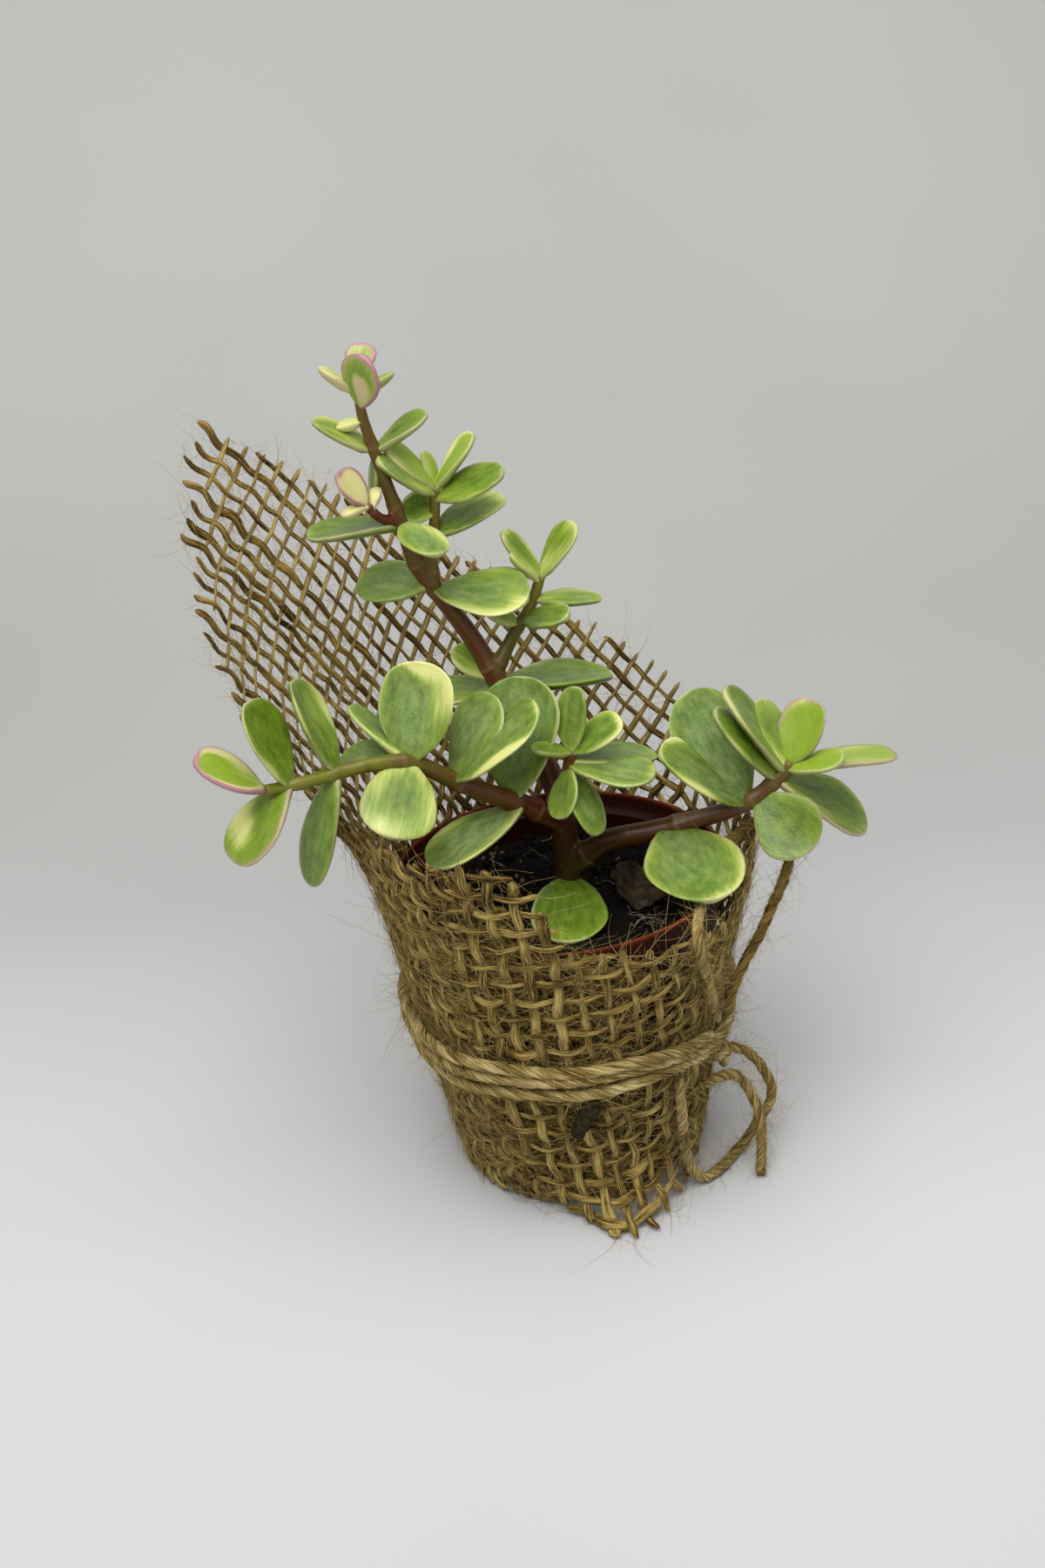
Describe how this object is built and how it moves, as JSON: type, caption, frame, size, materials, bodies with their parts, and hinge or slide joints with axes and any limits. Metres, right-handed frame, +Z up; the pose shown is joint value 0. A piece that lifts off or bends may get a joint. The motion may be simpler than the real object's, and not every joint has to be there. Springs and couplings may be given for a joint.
{
  "type": "potted elephant bush",
  "caption": "Young succulent bush with paired fleshy leaves in a thin tapered nursery pot, wrapped in loose burlap that flares up at the back and is tied with a twine bow.",
  "frame": {"origin": "middle of the pot's flat base, on the surface that it stands on", "axes": "+Z up along the pot's axis; -Y is the front, where the wrap's outer end hangs down; +X is the side of the twine bow"},
  "size_m": [0.1147, 0.0785, 0.1444],
  "materials": {
    "pot_plastic": "thin moulded terracotta-red polypropylene with a soft gloss",
    "peat_soil": "moist black peat with pale root fibres",
    "burlap": "coarse open jute hessian with frayed edges",
    "twine": "hairy plied jute twine",
    "plant_flesh": "smooth waxy green leaves with cream-yellow margins, purple-brown stems"
  },
  "bodies": {
    "root": {"pot": "pot_plastic", "soil": "peat_soil", "burlap_wrap": "burlap", "twine_turns": "twine", "twine_bow_upper": "twine", "twine_bow_lower": "twine", "twine_end": "twine", "twine_knot": "twine", "stem_tall": "plant_flesh", "branch_left": "plant_flesh", "branch_right": "plant_flesh", "shoot_centre": "plant_flesh"}
  },
  "joints": []
}
